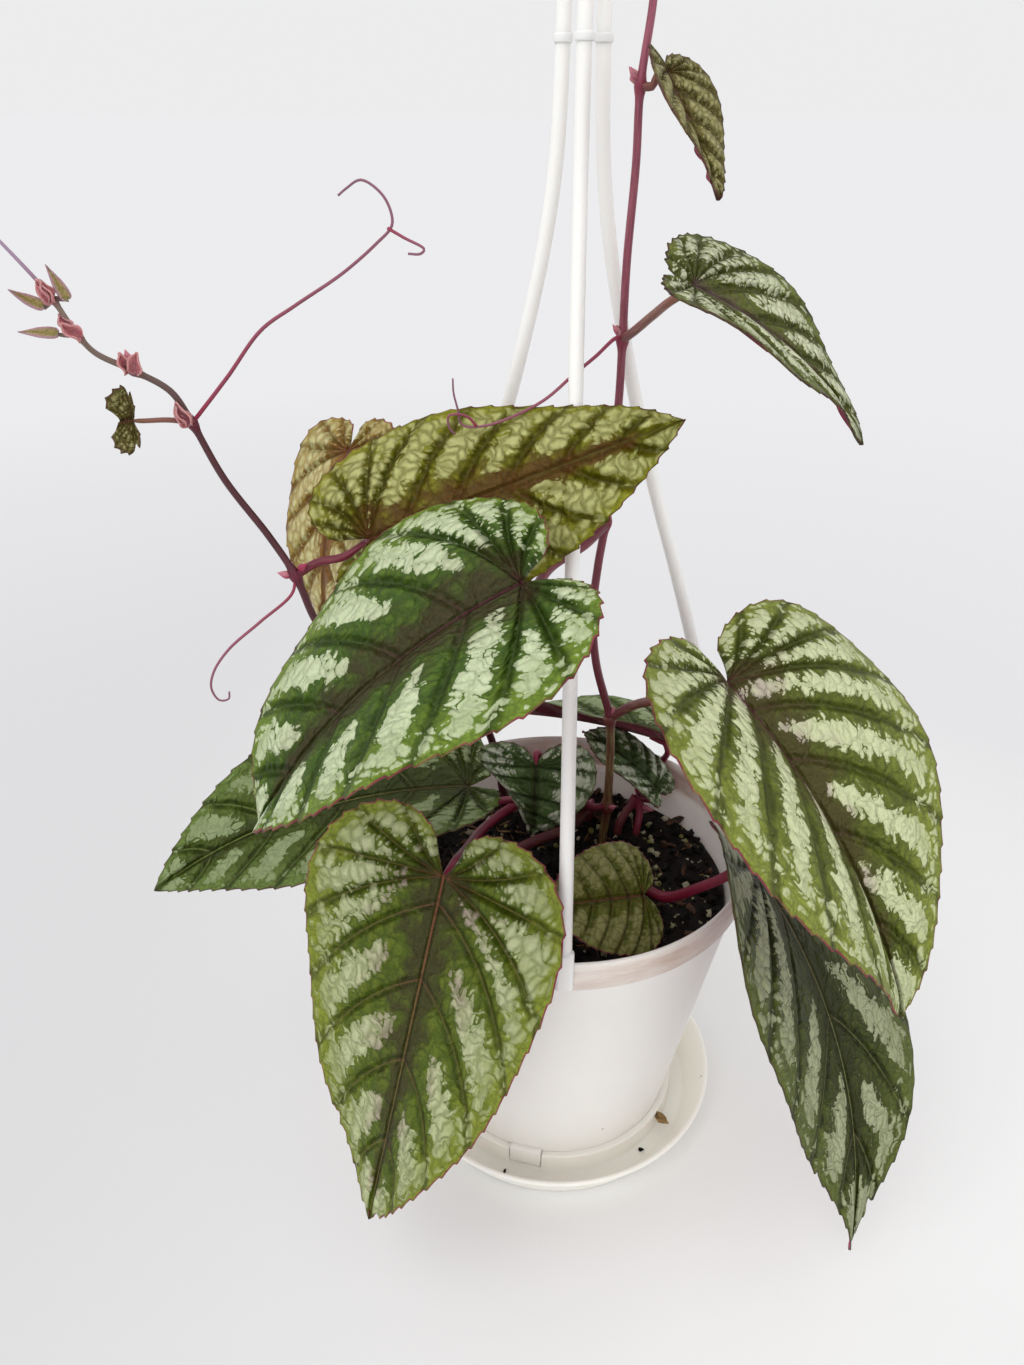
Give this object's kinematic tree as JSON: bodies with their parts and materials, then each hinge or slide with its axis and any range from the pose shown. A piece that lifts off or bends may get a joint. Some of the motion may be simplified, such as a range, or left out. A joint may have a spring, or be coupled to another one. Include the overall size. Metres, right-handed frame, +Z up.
{
  "type": "potted rex begonia vine",
  "caption": "Climbing foliage plant with silver-marked heart-shaped leaves, in a hanging pot with a clip-on saucer and a stranded hanger.",
  "frame": {"origin": "middle of the saucer's flat underside, where the pot stands", "axes": "+Z up along the pot's axis to the hanger's hook, -Y towards the side the large leaves face, +X to the right seen from there"},
  "size_m": [0.2819, 0.2048, 0.4871],
  "materials": {
    "pot_plastic": "satin white polypropylene",
    "saucer_plastic": "satin white polypropylene",
    "hanger_plastic": "satin white polypropylene",
    "potting_soil": "rough, damp peat with perlite",
    "stem_crimson": "smooth, slightly glossy living stem",
    "stem_purple": "smooth, slightly glossy living stem",
    "leaf_green": "satin living leaf, silver between the veins",
    "leaf_olive": "satin living leaf, lit through",
    "leaf_dark": "satin living leaf in shade",
    "leaf_young": "soft young scale leaf"
  },
  "bodies": {
    "root": {"pot": "pot_plastic", "saucer": "saucer_plastic", "soil": "potting_soil", "hanger_strand_front": "hanger_plastic", "hanger_strand_right": "hanger_plastic", "hanger_strand_left": "hanger_plastic", "hanger_hook": "hanger_plastic", "vine_tall": "stem_crimson", "vine_long": "stem_purple", "crown_shoot": "stem_crimson", "side_shoot": "stem_crimson", "front_shoot": "stem_crimson", "leaf_middle": "leaf_green", "leaf_front": "leaf_green", "leaf_right": "leaf_green", "leaf_right_low": "leaf_dark", "leaf_left_low": "leaf_dark", "leaf_across": "leaf_olive", "leaf_behind": "leaf_olive", "leaf_back": "leaf_dark", "leaf_climbing": "leaf_green", "leaf_climbing_top": "leaf_olive", "leaf_soil": "leaf_green", "leaf_crown": "leaf_dark", "leaf_crown_young": "leaf_dark", "leaf_lobed_young": "leaf_olive", "tip_blade_low": "leaf_young", "tip_blade_left": "leaf_young", "tip_blade_right": "leaf_young", "crest_blade": "leaf_young"}
  },
  "joints": []
}
